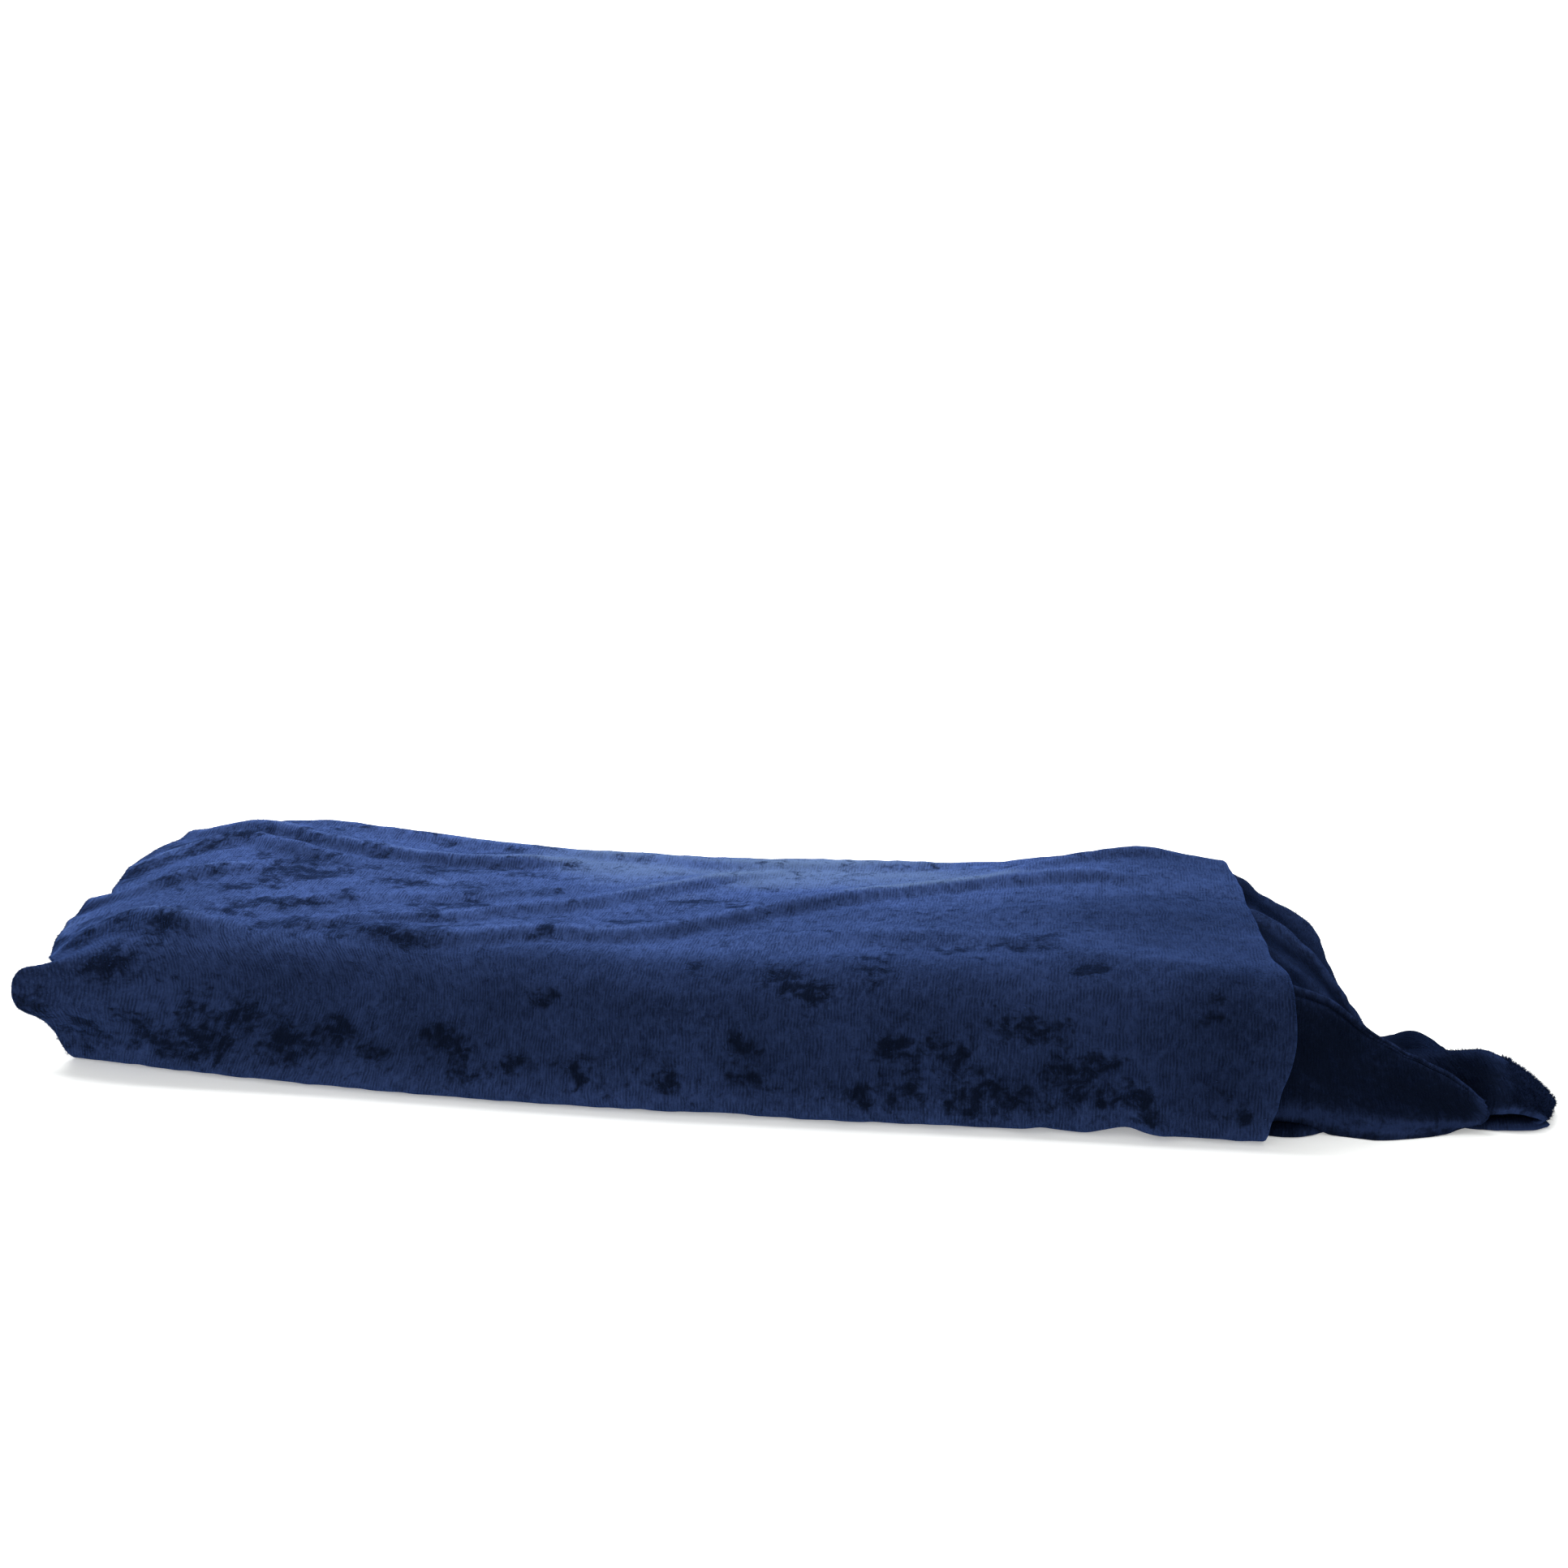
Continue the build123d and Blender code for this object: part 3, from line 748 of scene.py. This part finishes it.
def make_floor_fold(name, net, steps, seed, replaced=(), fuzz_count=0, body="slipped_layers"):
    """A fold that lies on the surface, with steps rows and columns, and its loose pile if any."""
    grid = lofted(net, *steps)
    uv = cloth_coordinates(grid)
    U, V = uv[..., 0], uv[..., 1]
    height = 1.0 * noise(U * 0.6, V, 14, seed) + 0.45 * noise(U, V, 6, seed + 1)
    grid = grid + normals(grid) * height[..., None]
    crush_and_shade = np.clip(0.35 + 0.6 * noise(U, V, 22, seed + 2), 0, 1)
    painted_light = 0.3 + 0.3 * noise(U, V, 26, seed + 3)
    # painted light along the near edge, painted shade under the fold above it
    painted_light += 1.1 * bell(V, 3.5) - 0.5 * ease((446 - grid[..., 0]) / 14)
    floats = {"crush_and_shade": crush_and_shade, "painted_light": painted_light}
    piece = doubled_cloth(name, grid, FLOOR_DOUBLED, uv, floats, rim_steps=5)
    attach(piece, body)
    if replaced:
        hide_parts(*replaced)
    parts = [piece]
    if fuzz_count:
        fuzz = fibres(
            name + "_pile",
            [
                pile(grid, uv, (0.05, 1), (0, 0.8), fuzz_count, (0.6, 1.4), 0.7, seed + 4),
                pile(grid, uv, (0.12, 0.75), (0.46, 0.74), fuzz_count, (1.0, 3.4), 0.35, seed + 5),
            ],
            COARSE_FIBRE,
            painted_light=0.1,
        )
        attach(fuzz, body)
        parts.append(fuzz)
    return parts


# ---------------------------------------------------------------- camera, light and floor
CAMERA_PLACE = (0.1885, -1.3625, 0.5516)  # metres
CAMERA_DOWN, CAMERA_LEFT = 15.51, 8.03  # degrees from level, and from straight at the front
CAMERA_LENS = 50.3


def make_camera():
    data = bpy.data.cameras.new("camera")
    camera = add_object("camera", data)
    data.sensor_width = 36
    data.lens = CAMERA_LENS
    camera.location = CAMERA_PLACE
    camera.rotation_euler = (math.radians(90 - CAMERA_DOWN), 0, math.radians(CAMERA_LEFT))
    bpy.context.scene.camera = camera


def area_light(name, place, target, size, power):
    data = bpy.data.lights.new(name, "AREA")
    data.shape = "RECTANGLE"
    data.size, data.size_y = size
    data.energy = power
    lamp = add_object(name, data)
    lamp.location = place
    lamp.visible_camera = False
    lamp.rotation_euler = (Vector(target) - Vector(place)).to_track_quat("-Z", "Y").to_euler()


def make_studio():
    """A pale floor that sweeps up into a backdrop, under a soft dome and one softbox."""
    half_width, near, level_end, bend_radius, top = 6.0, -4.0, 1.5, 1.3, 3.2
    bend = np.radians(np.linspace(0, 90, 25))
    level = [near, -level_end]
    y = np.concatenate([level, level_end + bend_radius * np.sin(bend), [level_end + bend_radius]])
    z = np.concatenate([[0, 0], bend_radius - bend_radius * np.cos(bend), [top]])
    count = len(y)
    points = [(x, b, c) for x in (-half_width, half_width) for b, c in zip(y, z)]
    faces = [(i, i + count, i + count + 1, i + 1) for i in range(count - 1)]
    mesh = bpy.data.meshes.new("sweep")
    mesh.from_pydata(points, [], faces)
    mesh.shade_smooth()
    add_object("sweep", mesh)
    paint = bpy.data.materials.new("pale_sweep")
    paint.use_nodes = True
    shader = paint.node_tree.nodes["Principled BSDF"]
    shader.inputs["Base Color"].default_value = (0.86, 0.875, 0.865, 1)
    shader.inputs["Roughness"].default_value = 0.42
    shader.inputs["Emission Color"].default_value = (1, 1, 0.985, 1)
    shader.inputs["Emission Strength"].default_value = 0.3
    mesh.materials.append(paint)
    world = bpy.data.worlds.new("studio")
    bpy.context.scene.world = world
    world.use_nodes = True
    world.node_tree.nodes["Background"].inputs["Color"].default_value = (1, 1, 1, 1)
    world.node_tree.nodes["Background"].inputs["Strength"].default_value = 0.75
    area_light("softbox", (-0.35, 0.6, 1.2), (-0.1, 0.05, 0.05), (1.3, 0.7), 22)
    area_light("backdrop_wash", (-0.6, 0.6, 2.4), (-0.6, 2.8, 0.9), (3.5, 0.8), 100)


# ---------------------------------------------------------------- materials
WALE = 0.0020  # the spacing of the knitted ribs
PAINTED_LIGHT_GAIN = 1.5  # how much lighter the pile's colour is where its painted light is 1
FLUTE = 0.0065  # the spacing of the board's corrugations
FLUTE_HEIGHT = 0.0021
PAPER = 0.00035  # half of how thick the fluted paper looks
LINER, WALL = 0.00112, 0.0017  # where a liner starts and ends, from the middle of its panel


def shade(colour, amount):
    return tuple(amount * v for v in colour)


class Recipe:
    """The nodes of one material, wired by short calls."""

    def __init__(self, name):
        self.material = bpy.data.materials.new(name)
        self.material.use_nodes = True
        self.nodes, self.links = self.material.node_tree.nodes, self.material.node_tree.links
        self.shader = self.nodes["Principled BSDF"]

    def feed(self, socket, value):
        if hasattr(value, "is_output"):
            self.links.new(value, socket)
        elif isinstance(value, tuple) and socket.type == "RGBA":
            socket.default_value = (*value, 1)
        else:
            socket.default_value = value

    def math(self, operation, *values):
        node = self.nodes.new("ShaderNodeMath")
        node.operation = operation
        for socket, value in zip(node.inputs, values):
            self.feed(socket, value)
        return node.outputs[0]

    def scaled(self, vector, amounts):
        node = self.nodes.new("ShaderNodeVectorMath")
        node.operation = "MULTIPLY"
        self.feed(node.inputs[0], vector)
        self.feed(node.inputs[1], amounts)
        return node.outputs[0]

    def split(self, vector):
        node = self.nodes.new("ShaderNodeSeparateXYZ")
        self.feed(node.inputs["Vector"], vector)
        return node.outputs["X"], node.outputs["Y"], node.outputs["Z"]

    def noise(self, place, scale, detail, rough, distortion):
        node = self.nodes.new("ShaderNodeTexNoise")
        values = {"Scale": scale, "Detail": detail, "Roughness": rough, "Distortion": distortion}
        for key, value in values.items():
            node.inputs[key].default_value = value
        self.feed(node.inputs["Vector"], place)
        return node.outputs["Fac"]

    def ramp(self, value, low, high):
        node = self.nodes.new("ShaderNodeMapRange")
        node.interpolation_type = "SMOOTHSTEP"
        node.inputs["From Min"].default_value = low
        node.inputs["From Max"].default_value = high
        self.feed(node.inputs["Value"], value)
        return node.outputs["Result"]

    def mix(self, factor, a, b):
        node = self.nodes.new("ShaderNodeMix")
        node.data_type = "RGBA"
        self.feed(node.inputs["Factor"], factor)
        self.feed(node.inputs[6], a)
        self.feed(node.inputs[7], b)
        return node.outputs[2]

    def attribute(self, name):
        node = self.nodes.new("ShaderNodeAttribute")
        node.attribute_name = name
        return node.outputs["Fac"]

    def bump(self, height, strength, distance):
        node = self.nodes.new("ShaderNodeBump")
        node.inputs["Strength"].default_value = strength
        node.inputs["Distance"].default_value = distance
        self.feed(node.inputs["Height"], height)
        self.links.new(node.outputs["Normal"], self.shader.inputs["Normal"])


def velour(name, light, dark, painted_sheen, patches=0.9, sheen=0.22, wales=0.65):
    """Crushed velour: a knitted ground with wales, a short pile, and dark patches where the pile lies
    flat. Its colour also carries painted light and shade, and a painted sheen where the painted light
    is high.
    """
    r = Recipe(name)
    node = r.nodes.new("ShaderNodeUVMap")
    node.uv_map = "cloth"
    cloth = node.outputs["UV"]

    # noises over the cloth, from the shapes of the patches down to single tufts
    branching = r.noise(cloth, 70, 7, 0.7, 0.9)
    spots = r.noise(cloth, 150, 5, 0.66, 0.7)
    broad = r.noise(cloth, 16, 3, 0.5, 0.4)
    fine = r.noise(cloth, 420, 5, 0.72, 1.2)
    tiny = r.noise(cloth, 1600, 2, 0.6, 0.0)
    strands = r.noise(r.scaled(cloth, (850, 150, 1)), 1, 3, 0.6, 0.35)
    dashes = r.noise(r.scaled(cloth, (95, 300, 1)), 1, 4, 0.6, 0.5)

    field = r.math("MULTIPLY_ADD", branching, 1.9, r.attribute("crush_and_shade"))
    field = r.math("MULTIPLY_ADD", spots, 2.3, field)
    field = r.math("MULTIPLY_ADD", fine, 0.9, field)
    field = r.math("MULTIPLY_ADD", dashes, 0.7, field)
    patch = r.math("MULTIPLY", r.ramp(field, 3.12, 4.0), patches)

    wander = r.math("MULTIPLY_ADD", r.noise(cloth, 70, 3, 0.6, 0.5), 0.004, r.split(cloth)[0])
    wale = r.math("SINE", r.math("MULTIPLY", wander, 2 * math.pi / WALE))
    wale = r.math("MULTIPLY_ADD", wale, 0.5, 0.5)
    broken = r.ramp(r.noise(r.scaled(cloth, (150, 110, 1)), 1, 3, 0.6, 0.3), 0.36, 0.62)
    groove = r.math("MULTIPLY", wale, broken)

    tips = (1.12 * light[0], 1.08 * light[1], light[2])  # the pile's tips are a little greyer
    tone = r.math("MULTIPLY_ADD", broad, 0.4, r.math("MULTIPLY", fine, 0.6))
    nap = r.mix(r.ramp(tone, 0.34, 0.66), shade(light, 0.5), shade(light, 1.5))
    nap = r.mix(r.math("MULTIPLY", r.ramp(strands, 0.40, 0.64), 0.65), nap, shade(tips, 1.7))
    nap = r.mix(r.math("MULTIPLY", groove, wales), nap, shade(light, 0.25))
    nap = r.mix(r.math("MULTIPLY", r.ramp(tiny, 0.4, 0.7), 0.3), nap, shade(tips, 1.7))
    # painted light and shade: the pile's colour is scaled by its painted light, and where that is high
    # it turns towards the painted sheen
    painted_light = r.attribute("painted_light")
    painted_lit_nap = r.nodes.new("ShaderNodeVectorMath")
    painted_lit_nap.operation = "SCALE"
    r.feed(painted_lit_nap.inputs[0], nap)
    r.feed(painted_lit_nap.inputs["Scale"], r.math("MULTIPLY_ADD", painted_light, PAINTED_LIGHT_GAIN, 1.0))
    sheen_paint_share = r.math("MULTIPLY", r.ramp(painted_light, 0.85, 1.6), 0.75)
    cover = r.mix(sheen_paint_share, painted_lit_nap.outputs[0], painted_sheen)
    r.feed(r.shader.inputs["Base Color"], r.mix(patch, cover, dark))

    r.feed(r.shader.inputs["Roughness"], r.math("MULTIPLY_ADD", fine, 0.15, 0.8))
    r.shader.inputs["Specular IOR Level"].default_value = 0.0
    r.shader.inputs["Sheen Weight"].default_value = sheen
    r.shader.inputs["Sheen Roughness"].default_value = 0.34
    r.shader.inputs["Sheen Tint"].default_value = (0.14, 0.31, 1.0, 1)

    height = r.math("MULTIPLY_ADD", groove, -0.77 * wales, r.math("MULTIPLY", strands, 0.9))
    height = r.math("MULTIPLY_ADD", fine, 0.7, height)
    height = r.math("MULTIPLY_ADD", tiny, 0.3, height)
    height = r.math("MULTIPLY_ADD", patch, -0.7, height)
    r.bump(height, 0.8, 0.0011)
    return r.material


def corrugated(name, kraft, cut_axis, panels):
    """Brown corrugated board. Its flutes show on faces across cut_axis, between the liners of
    panels, which are given as (axis across the panel, its middle, half the gap between two)."""
    r = Recipe(name)
    node = r.nodes.new("ShaderNodeTexCoord")
    place, facing = node.outputs["Object"], node.outputs["Normal"]
    axes = r.split(place)

    mottled = r.noise(place, 26, 6, 0.6, 0.3)
    grain = (260, 1500, 1500) if cut_axis == 0 else (1500, 1500, 260)
    fibre = r.noise(r.scaled(place, grain), 1, 4, 0.7, 0.6)
    speck = r.ramp(r.noise(place, 720, 3, 0.6, 0.2), 0.66, 0.76)
    scuff = r.ramp(r.noise(place, 45, 7, 0.72, 1.1), 0.56, 0.74)
    across = r.math("ADD", axes[1], axes[2]) if cut_axis == 0 else axes[1]
    ripple = r.math("SINE", r.math("MULTIPLY", across, 2 * math.pi / FLUTE))
    band = r.math("MULTIPLY_ADD", ripple, 0.5, 0.5)

    liner = r.mix(r.ramp(mottled, 0.3, 0.7), shade(kraft, 0.8), shade(kraft, 1.12))
    liner = r.mix(r.math("MULTIPLY", r.ramp(fibre, 0.35, 0.7), 0.5), liner, shade(kraft, 1.3))
    liner = r.mix(r.math("MULTIPLY", band, 0.16), liner, shade(kraft, 0.6))
    liner = r.mix(r.math("MULTIPLY", scuff, 0.35), liner, shade(kraft, 1.5))
    liner = r.mix(r.math("MULTIPLY", speck, 0.6), liner, shade(kraft, 0.35))

    paper = None
    for axis, middle, gap in panels:
        depth = r.math("SUBTRACT", r.math("ABSOLUTE", r.math("SUBTRACT", axes[axis], middle)), gap)
        along = axes[1] if axis != 1 else axes[2]
        wave = r.math("SINE", r.math("MULTIPLY", along, 2 * math.pi / FLUTE))
        medium = r.math("ABSOLUTE", r.math("MULTIPLY_ADD", wave, -FLUTE_HEIGHT / 2, depth))
        web = r.math("LESS_THAN", medium, PAPER)
        skin = r.math("GREATER_THAN", r.math("ABSOLUTE", depth), LINER)
        both = r.math("MAXIMUM", web, skin)
        inside = r.math("LESS_THAN", r.math("ABSOLUTE", depth), WALL)
        both = r.math("MULTIPLY", both, inside)
        paper = both if paper is None else r.math("MAXIMUM", paper, both)
    # painted shade: the hollows between the paper on a cut face are near black
    cut = r.mix(paper, shade(kraft, 0.10), shade(kraft, 1.05))
    across_cut = r.math("GREATER_THAN", r.math("ABSOLUTE", r.split(facing)[cut_axis]), 0.7)
    r.feed(r.shader.inputs["Base Color"], r.mix(across_cut, liner, cut))

    r.feed(r.shader.inputs["Roughness"], r.math("MULTIPLY_ADD", mottled, 0.15, 0.75))
    r.shader.inputs["Specular IOR Level"].default_value = 0.25
    height = r.math("MULTIPLY_ADD", band, 0.35, r.math("MULTIPLY", fibre, 0.3))
    height = r.math("MULTIPLY_ADD", scuff, 0.15, height)
    height = r.math("MULTIPLY_ADD", r.math("MULTIPLY", across_cut, paper), 1.5, height)
    r.bump(height, 0.7, 0.0004)
    return r.material


# ---------------------------------------------------------------- build
LIGHT = (0.0110, 0.0196, 0.0565)  # pile that stands up
DARK = (0.0026, 0.0042, 0.0100)  # pile pressed flat, and on the slipped layers also their painted shade
PAINTED_SHEEN = (0.082, 0.125, 0.215)  # painted sheen, a grey-blue the pile turns towards where its painted light is highest
KRAFT = (0.27, 0.165, 0.085)
HALF_WALL = 0.0015


def middle(node, axis):
    low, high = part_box(node)
    return (low[axis] + high[axis]) / 2


def dress_board():
    """Gives the board's own CAD pieces their corrugated cardboard."""
    low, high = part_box("board_sleeve")
    panel_gap = (high[2] - low[2]) / 2 - HALF_WALL
    side_gap = high[1] - HALF_WALL
    sleeve = [(2, middle("board_sleeve", 2), panel_gap), (1, 0, side_gap)]
    webs = [(2, middle("board_webs", 2), 0)]
    left = [(0, middle("left_end_flap", 0), 0)]
    right = [(0, middle("right_end_flap", 0), 0)]
    coverings = {
        "board_sleeve": corrugated("kraft_sleeve", KRAFT, 0, sleeve),
        "board_webs": corrugated("kraft_webs", shade(KRAFT, 0.9), 0, webs),
        "left_end_flap": corrugated("kraft_left_flap", KRAFT, 2, left),
        "right_end_flap": corrugated("kraft_right_flap", KRAFT, 2, right),
    }
    for name, covering in coverings.items():
        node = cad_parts[name]
        node.data.materials.clear()
        node.data.materials.append(covering)


make_camera()
make_studio()
velvet = velour("crushed_velour", LIGHT, DARK, PAINTED_SHEEN)
# the slipped layers get a darker copy of the velour, which is painted shade, with a weaker sheen
shaded = velour(
    "shaded_slipped_velour",
    shade(LIGHT, 0.42),
    shade(DARK, 1.3),
    shade(LIGHT, 1.25),
    patches=0.75,
    sheen=0.06,
    wales=0.3,
)
last_turn, last_turn_pile, outer_face = make_last_turn()
outer = [last_turn, last_turn_pile, make_inner_turns(outer_face)]
slipped = [
    *make_overhang(),
    *make_floor_fold(
        "floor_lobe_cloth", FLOOR_LOBE, (60, 76), 51, ["floor_lobe"], fuzz_count=2600
    ),
    *make_floor_fold(
        "rear_fold_cloth", REAR_HUMP, (30, 40), 61, ["rear_lobe"], fuzz_count=700
    ),
    *make_floor_fold("under_fold_cloth", UNDER_FOLD, (24, 30), 71, body="winding"),
    *make_floor_fold("under_lobe_cloth", UNDER_LOBE, (24, 40), 81),
]
for piece in outer:
    piece.data.materials.append(velvet)
for piece in slipped:
    piece.data.materials.append(shaded)
dress_board()
bpy.context.scene.view_settings.view_transform = "Standard"
